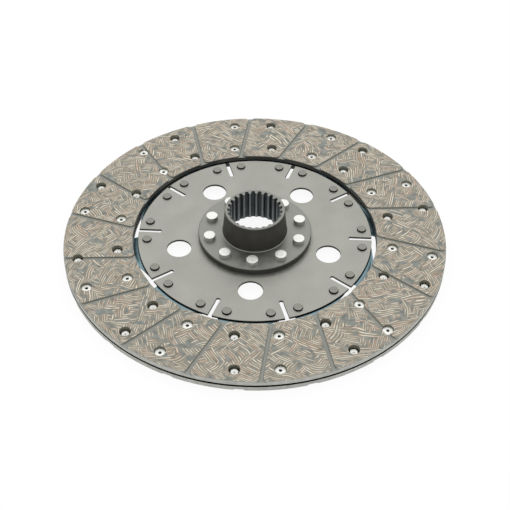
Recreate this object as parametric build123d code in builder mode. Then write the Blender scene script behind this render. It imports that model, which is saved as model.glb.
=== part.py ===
from build123d import *
import math
import os

# Rigid clutch disc: a splined hub riveted to a carrier plate, ten waved cushion segments
# riveted round the plate's rim, and a grooved friction facing riveted to each side of them.
# The disc lies on its rear facing: the rotation axis is Z and the rear friction face is at
# height 0. Lengths are in millimetres and angles in degrees, seen from the hub's side.

# General allowances
overshoot = 1.0                  # how far a cutting form runs past the face that it cuts
rivet_clearance = 0.1            # radial room round every rivet shank

# Friction facings
facing_outer_radius = 155.0
facing_inner_radius = 99.4
facing_thickness = 4.1
facing_spacing = 2.0             # free distance between the backs of the two facings
facing_edge_break = 0.3
groove_count = 18
groove_width = 2.9
groove_depth = 1.3
groove_offset = 27.3             # from the disc's axis to each groove's centre line
groove_angle = 2.6               # first groove's direction from the first segment's centre line
pad_corner_radius = 3.6

# Cushion segments of spring steel
segment_count = 10
segment_angle = 18.9             # first segment's centre line from the X axis
segment_thickness = 0.8
segment_rim_inset = 2.0          # segment's outer edge inside the facings' outer edge
segment_leading_angle = 17.9     # from the centre line to the straight edge
segment_trailing_angle = 17.2    # from the centre line to the other side edge
segment_corner_radius = 5.0
tang_inner_radius = 79.0
tang_trailing_angle = 10.3       # from the centre line to the tang's short side edge
tang_corner_radius = 2.5
relief_root_offset = -2.0        # where the relief slit ends, sideways from the centre line
relief_root_reach = 100.2        # slit's inner side at its end, along the centre line
relief_flare = 0.353             # how far the slit's inner side falls back for each mm sideways
relief_end_width = 2.7
relief_end_radius = 1.3
wave_column_half_width = 5.5     # flat strip on each side of a rivet column's line
wave_bend_radius = 60.0
wave_edge_return = 0.6           # how far the side edges bend back towards mid height
joggle_start_clearance = 0.4     # outside the carrier plate's rim
joggle_end_clearance = 0.2       # inside the facings' inner edge

# Facing rivets, hollow, in two rows and two columns on each segment
outer_row_inset = 11.7           # inside the facings' outer edge, along a segment's centre line
inner_row_inset = 11.5           # outside the facings' inner edge, along a segment's centre line
rivet_column_offset = 16.6       # sideways from the segment's centre line
facing_rivet_head_radius = 4.1
facing_rivet_head_height = 0.7
facing_rivet_shank_radius = 1.9
facing_rivet_bore_radius = 1.15
facing_rivet_clench_radius = 3.1
facing_rivet_clench_height = 2.5
facing_rivet_edge_radius = 0.25
facing_web = 1.7                 # lining left below the rivet head's seat
facing_pocket_radius = 4.45      # counterbore for a head, and through hole for a clench

# Carrier plate
plate_radius = 95.2
plate_thickness = 1.8
plate_rise = 0.1                 # plate's underside above the front facing's back
plate_bore_clearance = 3.0       # plate's centre hole outside the spline's root circle
plate_edge_break = 0.2
lightening_count = 5
lightening_radius = 9.9
lightening_circle_radius = 63.2
lightening_angle = 51.1
slot_width = 3.2
slot_end_radius = 1.8
slot_root_radius = 78.4
slot_lag = 14.2                  # from a segment's centre line to the slot that follows it

# Segment rivets, two through each tang, one on each side of every slot
segment_rivet_circle_radius = 88.0
segment_rivet_angle = 7.05       # from the slot to the rivet on each side
segment_rivet_head_radius = 3.9
segment_rivet_crown_radius = 3.5
segment_rivet_head_height = 1.5
segment_rivet_shank_radius = 2.6
segment_rivet_tail_radius = 3.9
segment_rivet_tail_height = 1.5
segment_rivet_edge_radius = 0.3

# Hub
hub_height = 27.7                # from the plate's upper face to the end of the barrel
flange_radius = 46.0
flange_thickness = 5.3
flange_edge_break = 0.5
barrel_base_radius = 26.2
barrel_end_radius = 24.1
barrel_end_break = 0.4
barrel_root_radius = 0.8
spline_count = 25
spline_root_radius = 22.2
spline_tip_radius = 20.3
spline_root_width = 2.2          # width of a space at the root circle
spline_tip_land = 1.5            # width of a tooth at the tip circle
spline_angle = 7.6               # first space's direction from the X axis
spline_lead = 1.1                # height of the chamfer on the teeth at both ends of the bore

# Hub rivets
hub_rivet_count = 10
hub_rivet_circle_radius = 37.7
hub_rivet_angle = 15.1
hub_rivet_head_radius = 4.7
hub_rivet_head_height = 3.6
hub_rivet_shank_radius = 3.5
hub_rivet_tail_radius = 4.9
hub_rivet_tail_height = 2.8
hub_rivet_edge_break = 0.4

# Reaches from the axis that follow from the facings
segment_outer_radius = facing_outer_radius - segment_rim_inset
outer_row_reach = facing_outer_radius - outer_row_inset
inner_row_reach = facing_inner_radius + inner_row_inset

# Heights from the rear friction face
rear_facing_back = facing_thickness
front_facing_back = rear_facing_back + facing_spacing
plate_underside = front_facing_back + plate_rise
plate_top = plate_underside + plate_thickness
tang_underside = plate_underside - segment_thickness
flange_top = plate_top + flange_thickness
hub_top = plate_top + hub_height

# Angles that follow from the segments
segment_pitch = 360 / segment_count
first_slot_angle = segment_angle + slot_lag
tang_centre_angle = slot_lag - segment_pitch / 2
tang_rivet_angles = (
    tang_centre_angle - segment_pitch / 2 + segment_rivet_angle,
    tang_centre_angle + segment_pitch / 2 - segment_rivet_angle,
)


def ray_point(radius, angle):
    """Point at a radius from the axis, in a direction given in degrees."""
    return (radius * math.cos(math.radians(angle)), radius * math.sin(math.radians(angle)))


def turned_about_x(plane):
    """The same plane seen from its other side, with its x direction kept."""
    return Plane(origin=plane.origin, x_dir=plane.x_dir, z_dir=-plane.z_dir)


def save(part, name):
    """Label a finished piece and write it to its own file."""
    part.label = name
    export_step(part, f"parts/{name}.step")


# The facings' own frames: x along the first segment's centre line, z from back to friction face
front_facing_plane = Plane(
    origin=(0, 0, front_facing_back), x_dir=(*ray_point(1, segment_angle), 0), z_dir=(0, 0, 1)
)
rear_facing_plane = turned_about_x(
    Plane(origin=(0, 0, rear_facing_back), x_dir=front_facing_plane.x_dir, z_dir=(0, 0, 1))
)


# One friction pad between two neighbouring grooves
with BuildSketch() as pad:
    Circle(facing_outer_radius)
    Circle(facing_inner_radius, mode=Mode.SUBTRACT)
    groove_pitch = 360 / groove_count
    near_side = groove_offset + groove_width / 2
    far_side = groove_offset - groove_width / 2
    reach_in = facing_inner_radius - 2 * near_side
    reach_out = facing_outer_radius + near_side
    with BuildLine():
        Polyline(
            (reach_in, near_side),
            (reach_out, near_side),
            Vector(reach_out, far_side).rotate(Axis.Z, groove_pitch),
            Vector(reach_in, far_side).rotate(Axis.Z, groove_pitch),
            close=True,
        )
    make_face(mode=Mode.INTERSECT)
    fillet(pad.vertices(), pad_corner_radius)

# Facing, back face at height 0: a full ring that carries the pads
with BuildPart() as facing:
    with BuildSketch():
        Circle(facing_outer_radius)
        Circle(facing_inner_radius, mode=Mode.SUBTRACT)
    extrude(amount=facing_thickness - groove_depth)
    with BuildSketch(Plane.XY.offset(facing_thickness - groove_depth)):
        with PolarLocations(0, groove_count, start_angle=groove_angle):
            add(pad.sketch)
    extrude(amount=groove_depth)
    pad_rims = facing.faces().filter_by(Axis.Z).group_by(Axis.Z)[-1].edges()
    chamfer(pad_rims, facing_edge_break)
    with Locations((0, 0, facing_thickness)):
        with PolarLocations(0, segment_count):
            with Locations(
                (inner_row_reach, rivet_column_offset), (outer_row_reach, rivet_column_offset)
            ):
                CounterBoreHole(
                    facing_rivet_shank_radius + rivet_clearance,
                    facing_pocket_radius,
                    facing_thickness - facing_web,
                )
            with Locations(
                (inner_row_reach, -rivet_column_offset), (outer_row_reach, -rivet_column_offset)
            ):
                Hole(facing_pocket_radius)

with BuildPart(front_facing_plane) as front_facing:
    add(facing.part)

with BuildPart(rear_facing_plane) as rear_facing:
    add(facing.part)


# Footprint of a segment, with its centre line along X
wave_half_width = facing_outer_radius * math.sin(math.radians(segment_leading_angle)) + overshoot
relief_side_reach = tang_inner_radius / 2
with BuildSketch() as segment_outline:
    Circle(segment_outer_radius)
    Circle(tang_inner_radius, mode=Mode.SUBTRACT)
    with BuildLine():
        Polyline(
            (0, 0),
            ray_point(2 * segment_outer_radius, -segment_leading_angle),
            ray_point(2 * segment_outer_radius, segment_trailing_angle),
            close=True,
        )
    make_face(mode=Mode.INTERSECT)
    fillet(segment_outline.vertices().group_by(Axis.X)[-1], segment_corner_radius)
    # The relief slit frees the body from the tang on the trailing side
    slit_tip = (relief_root_reach, relief_root_offset)
    tang_direction = math.tan(math.radians(tang_trailing_angle))
    flank_zero = relief_root_reach + relief_flare * relief_root_offset
    tang_corner_reach = flank_zero / (1 + relief_flare * tang_direction)
    with BuildLine():
        Polyline(
            slit_tip,
            (tang_corner_reach, tang_corner_reach * tang_direction),
            ray_point(relief_side_reach, tang_trailing_angle),
            (relief_side_reach, wave_half_width),
            (relief_root_reach + relief_end_width, wave_half_width),
            (relief_root_reach + relief_end_width, relief_root_offset),
            close=True,
        )
    make_face(mode=Mode.SUBTRACT)
    slit_end = segment_outline.vertices().filter_by_position(
        Axis.Y, relief_root_offset - overshoot, relief_root_offset + overshoot
    )
    fillet(slit_end, relief_end_radius)
    tang_ends = segment_outline.vertices().group_by(Axis.X)[:2]
    fillet([vertex for group in tang_ends for vertex in group], tang_corner_radius)


def fill_under_skin(drop):
    """Solid from height 0 up to a segment's upper skin, lowered by drop."""
    column_start = rivet_column_offset - wave_column_half_width
    column_end = rivet_column_offset + wave_column_half_width
    low = rear_facing_back + segment_thickness - drop
    high = front_facing_back - drop
    with BuildPart() as fill:
        with BuildSketch(Plane.YZ.offset(tang_inner_radius / 2)):
            with BuildLine():
                FilletPolyline(
                    (-wave_half_width, low + wave_edge_return),
                    (-column_end, low),
                    (-column_start, low),
                    (column_start, high),
                    (column_end, high),
                    (wave_half_width, high - wave_edge_return),
                    radius=wave_bend_radius,
                )
                Polyline(
                    (wave_half_width, high - wave_edge_return),
                    (wave_half_width, 0),
                    (-wave_half_width, 0),
                    (-wave_half_width, low + wave_edge_return),
                )
            make_face()
        extrude(amount=facing_outer_radius)
        # The joggle steps down from the tang, under the plate, to the wave between the facings
        joggle_start = plate_radius + joggle_start_clearance
        joggle_end = facing_inner_radius - joggle_end_clearance
        tang_top = plate_underside - drop
        joggle_foot = joggle_start + (joggle_end - joggle_start) * tang_top / (tang_top - low)
        with BuildSketch(Plane(origin=(0, 0, 0), x_dir=(-1, 0, 0), z_dir=(0, 1, 0))):
            with BuildLine():
                Polyline((0, 0), (joggle_foot, 0), (joggle_start, tang_top), (0, tang_top), close=True)
            make_face()
        revolve(axis=Axis.Z)
    return fill.part


# One cushion segment, pressed from sheet: wave, joggle and flat tang
with BuildPart() as segment_form:
    with BuildSketch():
        add(segment_outline.sketch)
    extrude(amount=plate_top)
    add(fill_under_skin(0), mode=Mode.INTERSECT)
    add(fill_under_skin(segment_thickness), mode=Mode.SUBTRACT)
    with Locations((0, 0, plate_top)):
        with Locations(*[ray_point(segment_rivet_circle_radius, angle) for angle in tang_rivet_angles]):
            Hole(segment_rivet_shank_radius + rivet_clearance)
        with Locations(
            (inner_row_reach, rivet_column_offset),
            (outer_row_reach, rivet_column_offset),
            (inner_row_reach, -rivet_column_offset),
            (outer_row_reach, -rivet_column_offset),
        ):
            Hole(facing_rivet_shank_radius + rivet_clearance)


# Carrier plate, blanked from sheet
with BuildPart() as carrier_plate:
    with BuildSketch(Plane.XY.offset(plate_underside)):
        Circle(plate_radius)
        Circle(spline_root_radius + plate_bore_clearance, mode=Mode.SUBTRACT)
        with PolarLocations(lightening_circle_radius, lightening_count, start_angle=lightening_angle):
            Circle(lightening_radius, mode=Mode.SUBTRACT)
        slot_length = plate_radius + overshoot - slot_root_radius
        with PolarLocations(0, segment_count, start_angle=first_slot_angle):
            with Locations((slot_root_radius, 0)):
                Circle(slot_end_radius, mode=Mode.SUBTRACT)
            with Locations((slot_root_radius + slot_length / 2, 0)):
                Rectangle(slot_length, slot_width, mode=Mode.SUBTRACT)
    extrude(amount=plate_thickness)
    chamfer(carrier_plate.faces().sort_by(Axis.Z)[-1].edges(), plate_edge_break)
    with Locations((0, 0, plate_top)):
        with PolarLocations(
            segment_rivet_circle_radius,
            segment_count,
            start_angle=first_slot_angle - segment_rivet_angle,
        ):
            Hole(segment_rivet_shank_radius + rivet_clearance)
        with PolarLocations(
            segment_rivet_circle_radius,
            segment_count,
            start_angle=first_slot_angle + segment_rivet_angle,
        ):
            Hole(segment_rivet_shank_radius + rivet_clearance)
        with PolarLocations(hub_rivet_circle_radius, hub_rivet_count, start_angle=hub_rivet_angle):
            Hole(hub_rivet_shank_radius + rivet_clearance)


# Space between two spline teeth, along X: wide at the tip circle, narrow at the root circle
tip_space = 2 * math.pi * spline_tip_radius / spline_count - spline_tip_land
space_taper = (tip_space - spline_root_width) / (spline_root_radius - spline_tip_radius)
with BuildSketch() as spline_space:
    start_width = tip_space + space_taper * overshoot
    end_width = spline_root_width - space_taper * overshoot
    with BuildLine():
        Polyline(
            (spline_tip_radius - overshoot, -start_width / 2),
            (spline_root_radius + overshoot, -end_width / 2),
            (spline_root_radius + overshoot, end_width / 2),
            (spline_tip_radius - overshoot, start_width / 2),
            close=True,
        )
    make_face()
    Circle(spline_root_radius, mode=Mode.INTERSECT)

# Hub: flange and tapered barrel turned in one piece, bore broached with the splines
with BuildPart() as hub:
    with BuildSketch(Plane.XZ):
        with BuildLine():
            Polyline(
                (0, plate_top),
                (flange_radius, plate_top),
                (flange_radius, flange_top),
                (barrel_base_radius, flange_top),
                (barrel_end_radius, hub_top),
                (0, hub_top),
                close=True,
            )
        make_face()
    revolve(axis=Axis.Z)
    rims = hub.edges().filter_by(GeomType.CIRCLE)
    flange_rims = rims.group_by(SortBy.RADIUS)[-1]
    barrel_root = rims.group_by(SortBy.RADIUS)[1]
    barrel_end = rims.group_by(SortBy.RADIUS)[0]
    chamfer(flange_rims, flange_edge_break)
    fillet(barrel_root, barrel_root_radius)
    chamfer(barrel_end, barrel_end_break)
    with BuildSketch(Plane.XY.offset(plate_top)):
        Circle(spline_tip_radius)
        with PolarLocations(0, spline_count, start_angle=spline_angle):
            add(spline_space.sketch)
    extrude(amount=hub_height, mode=Mode.SUBTRACT)
    lead_slope = spline_lead / (spline_root_radius - spline_tip_radius)
    for bore_end, outward in ((plate_top, -1), (hub_top, 1)):
        lead_end = bore_end - outward * (spline_lead + lead_slope * overshoot)
        with BuildSketch(Plane.XZ):
            with BuildLine():
                Polyline(
                    (0, bore_end),
                    (spline_root_radius, bore_end),
                    (spline_tip_radius - overshoot, lead_end),
                    (0, lead_end),
                    close=True,
                )
            make_face()
        revolve(axis=Axis.Z, mode=Mode.SUBTRACT)
    with Locations((0, 0, flange_top)):
        with PolarLocations(hub_rivet_circle_radius, hub_rivet_count, start_angle=hub_rivet_angle):
            Hole(hub_rivet_shank_radius + rivet_clearance)


# Hub rivet: flat cheese head on the flange, shank through flange and plate, upset tail below
with BuildPart() as hub_rivet:
    with BuildSketch(Plane.XZ):
        with BuildLine():
            Polyline(
                (0, flange_top + hub_rivet_head_height),
                (hub_rivet_head_radius, flange_top + hub_rivet_head_height),
                (hub_rivet_head_radius, flange_top),
                (hub_rivet_shank_radius, flange_top),
                (hub_rivet_shank_radius, plate_underside),
                (hub_rivet_tail_radius, plate_underside),
                (hub_rivet_tail_radius, plate_underside - hub_rivet_tail_height),
                (0, plate_underside - hub_rivet_tail_height),
                close=True,
            )
        make_face()
    revolve(axis=Axis.Z)
    chamfer(hub_rivet.faces().sort_by(Axis.Z)[-1].edges(), hub_rivet_edge_break)
    chamfer(hub_rivet.faces().sort_by(Axis.Z)[0].edges(), hub_rivet_edge_break)

with BuildPart() as hub_rivets:
    with PolarLocations(hub_rivet_circle_radius, hub_rivet_count, start_angle=hub_rivet_angle):
        add(hub_rivet.part)


# Segment rivet: low head with sloping sides on the plate, upset tail under the tang
with BuildPart() as segment_rivet:
    with BuildSketch(Plane.XZ):
        with BuildLine():
            Polyline(
                (0, plate_top + segment_rivet_head_height),
                (segment_rivet_crown_radius, plate_top + segment_rivet_head_height),
                (segment_rivet_head_radius, plate_top),
                (segment_rivet_shank_radius, plate_top),
                (segment_rivet_shank_radius, tang_underside),
                (segment_rivet_tail_radius, tang_underside),
                (segment_rivet_tail_radius, tang_underside - segment_rivet_tail_height),
                (0, tang_underside - segment_rivet_tail_height),
                close=True,
            )
        make_face()
    revolve(axis=Axis.Z)
    fillet(segment_rivet.faces().sort_by(Axis.Z)[-1].edges(), segment_rivet_edge_radius)
    fillet(segment_rivet.faces().sort_by(Axis.Z)[0].edges(), segment_rivet_edge_radius)

with BuildPart() as segment_rivets:
    for side in (-1, 1):
        with PolarLocations(
            segment_rivet_circle_radius,
            segment_count,
            start_angle=first_slot_angle + side * segment_rivet_angle,
        ):
            add(segment_rivet.part)


# Facing rivet in the facing's own frame: hollow, head in its pocket, end clenched on the segment
head_seat = facing_web
clench_start = -segment_thickness
with BuildPart() as facing_rivet:
    with BuildSketch(Plane.XZ) as rivet_section:
        with BuildLine():
            Polyline(
                (facing_rivet_bore_radius, head_seat + facing_rivet_head_height),
                (facing_rivet_head_radius, head_seat + facing_rivet_head_height),
                (facing_rivet_head_radius, head_seat),
                (facing_rivet_shank_radius, head_seat),
                (facing_rivet_shank_radius, clench_start),
                (facing_rivet_clench_radius, clench_start),
                (facing_rivet_clench_radius, clench_start - facing_rivet_clench_height),
                (facing_rivet_bore_radius, clench_start - facing_rivet_clench_height),
                close=True,
            )
        make_face()
        rounded = rivet_section.vertices().group_by(Axis.Y)
        fillet(rounded[-1] + rounded[0], facing_rivet_edge_radius)
    revolve(axis=Axis.Z)


def facing_rivet_row(plane, reach):
    """One row of facing rivets, a rivet on every segment, at a reach along its centre line."""
    with BuildPart(plane) as row:
        with PolarLocations(0, segment_count):
            with Locations((reach, rivet_column_offset)):
                add(facing_rivet.part)
    return row.part


os.makedirs("parts", exist_ok=True)
save(hub.part, "hub")
save(carrier_plate.part, "carrier_plate")
save(front_facing.part, "front_facing")
save(rear_facing.part, "rear_facing")
save(hub_rivets.part, "hub_rivets")
save(segment_rivets.part, "segment_rivets")
save(facing_rivet_row(front_facing_plane, outer_row_reach), "front_facing_rivets_outer")
save(facing_rivet_row(front_facing_plane, inner_row_reach), "front_facing_rivets_inner")
save(facing_rivet_row(rear_facing_plane, outer_row_reach), "rear_facing_rivets_outer")
save(facing_rivet_row(rear_facing_plane, inner_row_reach), "rear_facing_rivets_inner")
for index in range(segment_count):
    with BuildPart() as cushion_segment:
        add(segment_form.part, rotation=(0, 0, segment_angle + index * segment_pitch))
    save(cushion_segment.part, f"cushion_segment_{index + 1:02d}")
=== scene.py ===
"""Finishes, rivets and studio for a rigid clutch disc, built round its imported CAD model.

The disc lies flat on its rear facing. Lengths are in metres in the model's own frame: Z is
the axis of rotation, and the rear friction face is at height 0.
"""

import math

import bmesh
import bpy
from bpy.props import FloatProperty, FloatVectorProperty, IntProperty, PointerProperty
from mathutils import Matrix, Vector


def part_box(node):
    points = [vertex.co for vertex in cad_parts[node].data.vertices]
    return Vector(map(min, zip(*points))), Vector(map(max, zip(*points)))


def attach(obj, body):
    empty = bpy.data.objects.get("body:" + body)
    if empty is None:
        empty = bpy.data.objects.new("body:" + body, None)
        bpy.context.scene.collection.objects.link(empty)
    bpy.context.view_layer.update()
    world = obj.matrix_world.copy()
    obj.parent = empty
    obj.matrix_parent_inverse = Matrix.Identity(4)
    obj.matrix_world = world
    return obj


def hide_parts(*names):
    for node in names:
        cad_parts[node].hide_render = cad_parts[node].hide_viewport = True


bl_info = {
    "name": "Clutch Disc Looks",
    "version": (1, 0, 0),
    "blender": (4, 5, 0),
    "location": "View3D > Sidebar > Clutch Disc",
    "description": "Rivets, surface finishes and studio for a rigid clutch disc",
    "category": "Object",
}

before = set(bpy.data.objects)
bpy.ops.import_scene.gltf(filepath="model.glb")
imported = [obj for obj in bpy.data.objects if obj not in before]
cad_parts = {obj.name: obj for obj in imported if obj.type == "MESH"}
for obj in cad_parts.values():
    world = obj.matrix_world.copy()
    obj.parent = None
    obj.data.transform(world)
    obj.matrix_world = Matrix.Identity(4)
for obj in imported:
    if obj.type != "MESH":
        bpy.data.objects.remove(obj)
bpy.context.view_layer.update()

MM = 0.001
BODY = "root"

# Heights and radii that the frame gives
FACE_LOW, FACE_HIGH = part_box("front_facing")
REAR_LOW, REAR_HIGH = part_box("rear_facing")
PLATE_LOW, PLATE_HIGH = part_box("carrier_plate")
HUB_RIVET_LOW, HUB_RIVET_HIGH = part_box("hub_rivets")
SEGMENT_RIVET_LOW, SEGMENT_RIVET_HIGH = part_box("segment_rivets")
FACING_RADIUS = FACE_HIGH.x
MID_HEIGHT = (FACE_HIGH.z + REAR_LOW.z) / 2
HALF_HEIGHT = (FACE_HIGH.z - REAR_LOW.z) / 2
HALF_GAP = (FACE_LOW.z - REAR_HIGH.z) / 2
SEGMENTS = sorted(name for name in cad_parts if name.startswith("cushion_segment_"))

# Radii of openings, which the frame's boxes don't show
FACING_BORE = 99.4 * MM
SPLINE_ROOT = 22.2 * MM

# Directions in degrees: the first slot from the X axis, and each rivet from its slot
FIRST_SLOT = 33.1
RIVET_FROM_SLOT = 7.05

# Edges of a turned rivet that bend by more than this stay sharp
CREASE = math.radians(38)

# Most values of a noise texture lie in this range
NOISE_RANGE = {"From Min": 0.3, "From Max": 0.7}


def linear(hex_colour):
    """An sRGB hex colour as the linear values that Blender's sockets take."""
    channels = (int(hex_colour[i : i + 2], 16) / 255 for i in (1, 3, 5))
    return tuple(c / 12.92 if c <= 0.04045 else ((c + 0.055) / 1.055) ** 2.4 for c in channels)


def colour(name, hex_colour, description):
    """A colour that a user would change."""
    return FloatVectorProperty(
        name=name, description=description, subtype="COLOR", size=3, min=0, max=1,
        default=linear(hex_colour),
    )


def length(name, millimetres, description):
    """A length that a user would change, given in millimetres."""
    return FloatProperty(
        name=name, description=description, default=millimetres * MM, min=0, unit="LENGTH", precision=5
    )


def angle(name, degrees, description):
    """An angle that a user would change, given in degrees."""
    return FloatProperty(
        name=name, description=description, default=math.radians(degrees), subtype="ANGLE"
    )


def share(name, value, description):
    """A share between 0 and 1 that a user would change."""
    return FloatProperty(
        name=name, description=description, default=value, min=0, max=1, subtype="FACTOR"
    )


class HubRivetSizes(bpy.types.PropertyGroup):
    """Ten cheese-headed rivets that hold the flange on the plate."""

    count: IntProperty(name="Count", description="Rivets round the flange", default=10, min=1)
    circle: length("Circle radius", 37.7, "From the disc's axis to each rivet")
    first: angle("First angle", 15.1, "First rivet's direction from the X axis")
    head: length("Head radius", 4.7, "Radius of the head on the flange")
    head_height: length("Head height", 3.6, "Height of the head on the flange")
    tail: length("Tail radius", 4.9, "Radius of the upset tail below the plate")
    shank: length("Shank radius", 3.5, "Radius of the shank")
    edge: length("Edge break", 0.4, "Worn edge of head and tail")
    dimple: length("Dimple radius", 0.9, "Mark that the cold header leaves in the head's middle")


class SegmentRivetSizes(bpy.types.PropertyGroup):
    """Low-headed rivets in pairs, one on each side of every slot."""

    count: IntProperty(name="Count", description="Rivets round the plate", default=20, min=2)
    circle: length("Circle radius", 88.0, "From the disc's axis to each rivet")
    first: angle("First angle", FIRST_SLOT - RIVET_FROM_SLOT, "First rivet's direction from the X axis")
    mate: angle("Mate angle", 2 * RIVET_FROM_SLOT, "From a rivet to its mate across the slot")
    head: length("Head radius", 3.9, "Radius of the head where it meets the plate, and of the tail")
    crown: length("Crown radius", 3.5, "Radius of the head's crown")
    shank: length("Shank radius", 2.6, "Radius of the shank")
    edge: length("Edge radius", 0.3, "Rounding of the head's rim")
    tang: length("Tang thickness", 0.8, "Thickness of the segment's tang under the plate")


class FacingRivetSizes(bpy.types.PropertyGroup):
    """Tubular rivets in two rows on each facing, heads sunk in their pockets."""

    count: IntProperty(name="Count", description="Rivets in one row", default=10, min=1)
    inner_reach: length("Inner row reach", 110.9, "Along a segment's centre line")
    outer_reach: length("Outer row reach", 143.3, "Along a segment's centre line")
    column: length("Column offset", 16.6, "Sideways from a segment's centre line")
    segment: angle("Segment angle", 18.9, "First segment's centre line from the X axis")
    head: length("Head radius", 4.1, "Radius of the flat head")
    head_height: length("Head height", 0.7, "Thickness of the head")
    shank: length("Shank radius", 1.9, "Radius of the tube")
    bore: length("Bore radius", 1.15, "Radius of the tube's bore")
    clench: length("Clench radius", 3.1, "Radius of the rolled end")
    clench_height: length("Clench height", 2.5, "Height of the rolled end")
    pin: length("Clench opening", 0.45, "Radius of what the clenching leaves open of the bore")


class FinishColours(bpy.types.PropertyGroup):
    """Colours of the surfaces."""

    resin: colour("Resin", "#999B94", "Cured resin between the strands")
    resin_dark: colour("Dark resin", "#787C76", "Resin rich in carbon black")
    strand: colour("Strand", "#A89A84", "Ground side of a yarn strand")
    # Pale strand: partly the glass yarn's own colour, partly a painted highlight along the strand crests
    pale_yarn_and_glint: colour("Pale strand", "#F6EFDC", "Glass yarn cut open by the grinding")
    wire: colour("Wire", "#B3967C", "Brass wire spun into the yarn")
    # Ground rim: painted light, made paler for the light the floor throws on the rim
    rim: colour("Ground rim", "#CFCFC9", "Outer rim, ground and dusty")
    # Inner wall: painted shade, the facings' inner wall made near black
    bore_wall_shade: colour("Inner wall", "#4A4A45", "Facings' inner wall, stained by the parting agent")
    cut_wall: colour("Cut wall", "#8C8B7C", "Walls of the grooves and rivet holes")
    # Back: painted shade, the facings' backs made near black for the shade in the gap between them
    back: colour("Back", "#26241F", "Facings' backs, dark with adhesive and dirt")
    plate: colour("Sheet steel", "#A6A69F", "Cold-rolled sheet of the carrier plate")
    # Sheared edge: painted shade for the plate's steep faces
    sheared_edge_shade: colour("Sheared edge", "#34342F", "Blanked edges of the plate, dark with oil")
    hub: colour("Turned steel", "#92938D", "Turned faces of the hub")
    # The colour labelled phosphated steel is painted shade for the hub's barrel and rims, its steep faces
    hub_steep_shade: colour("Phosphated steel", "#5E5D5A", "Barrel and rims of the hub")
    # Broached steel: steel colour with a painted highlight for the tooth tips
    broached: colour("Broached steel", "#8B8E90", "Tips of the spline teeth")
    # Spline root: painted shade in the spaces between the teeth
    spline_root_shade: colour("Spline root", "#4E5456", "Spaces between the spline teeth, dark with grease")
    blued: colour("Blued steel", "#7E9AA2", "Tempered cushion segments")
    zinc: colour("Zinc", "#F2F2EE", "Bright zinc plate of the rivets")
    rivet_steel: colour("Rivet steel", "#8E8E86", "Plain pressed rivets in the plate")


class StudioSizes(bpy.types.PropertyGroup):
    """Camera, floor and light."""

    camera_back: length("Camera distance", 607.732, "From the disc's axis, towards the viewer")
    camera_side: length("Camera side", 0.2, "From the disc's axis, to the right")
    camera_height: length("Camera height", 577.544, "Above the rear friction face")
    camera_drop: angle("Camera drop", 44.298, "How far the camera looks down")
    camera_roll: angle("Camera roll", 0.2192, "Turn about the line of sight")
    near_limit: length("Near limit", 10, "Nearest distance that the camera sees")
    lens: FloatProperty(name="Lens", description="Focal length", default=71.83, unit="CAMERA")
    sensor: FloatProperty(name="Sensor", description="Sensor width", default=36.0, unit="CAMERA")
    floor: length("Floor size", 6000, "Side of the square floor")
    floor_white: share("Floor brightness", 0.91, "How bright the camera sees the floor by itself")
    floor_shade: share("Floor shading", 0.10, "What the camera sees of the light on the floor")
    floor_bounce: share("Floor bounce", 0.85, "Share of the light that the floor throws back")
    room: share("Room light", 0.55, "Light from the room on every side")
    softbox_width: length("Softbox width", 3000, "Side across the view")
    softbox_depth: length("Softbox depth", 2600, "Side along the view")
    softbox_back: length("Softbox offset", 450, "From the disc's axis, away from the viewer")
    softbox_height: length("Softbox height", 1050, "Above the rear friction face")
    softbox_power: FloatProperty(name="Softbox power", description="In watts", default=16.5, unit="POWER")


def add_node(tree, kind, links=None, **settings):
    """Add one node. Links give its inputs by name or number, as a node, a socket or a value."""
    made = tree.nodes.new(kind)
    for name, value in settings.items():
        setattr(made, name, value)
    for key, value in (links or {}).items():
        if isinstance(key, int):
            target = made.inputs[key]
        else:
            target = next(s for s in made.inputs if s.enabled and s.name == key)
        if isinstance(value, bpy.types.Node):
            value = next(s for s in value.outputs if s.enabled)
        if isinstance(value, bpy.types.NodeSocket):
            tree.links.new(value, target)
        elif target.type == "RGBA" and len(value) == 3:
            target.default_value = (*value, 1)
        else:
            target.default_value = value
    return made


def new_material(name):
    """An empty material, its tree and its Principled shader, already linked to the output."""
    material = bpy.data.materials.new(name)
    material.use_nodes = True
    tree = material.node_tree
    tree.nodes.clear()
    surface = add_node(tree, "ShaderNodeBsdfPrincipled")
    add_node(tree, "ShaderNodeOutputMaterial", {"Surface": surface})
    return material, tree, surface


def finish_surface(tree, surface, shown, rough, bump, metallic):
    """Give a Principled shader its colour, bump, metallic share and roughness, a node or a value."""
    mixed = next(s for s in shown.outputs if s.enabled)
    tree.links.new(mixed, surface.inputs["Base Color"])
    if isinstance(rough, bpy.types.Node):
        tree.links.new(rough.outputs[0], surface.inputs["Roughness"])
    else:
        surface.inputs["Roughness"].default_value = rough
    tree.links.new(bump.outputs[0], surface.inputs["Normal"])
    surface.inputs["Metallic"].default_value = metallic


def flat_radius(tree, place):
    """Distance from the disc's axis, from separated object coordinates."""
    flat = add_node(
        tree, "ShaderNodeCombineXYZ", {"X": place.outputs["X"], "Y": place.outputs["Y"]}
    )
    return add_node(tree, "ShaderNodeVectorMath", {0: flat}, operation="LENGTH").outputs["Value"]


def level_share(tree):
    """One on faces that look up or down, nought on steep ones, by the height of their normal."""
    steep_normal = 0.45
    level_normal = 0.75
    normal = add_node(tree, "ShaderNodeTexCoord").outputs["Normal"]
    height = add_node(tree, "ShaderNodeSeparateXYZ", {0: normal}).outputs["Z"]
    upright = add_node(tree, "ShaderNodeMath", {0: height}, operation="ABSOLUTE")
    return add_node(
        tree, "ShaderNodeMapRange",
        {"Value": upright, "From Min": steep_normal, "From Max": level_normal},
    )


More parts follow.
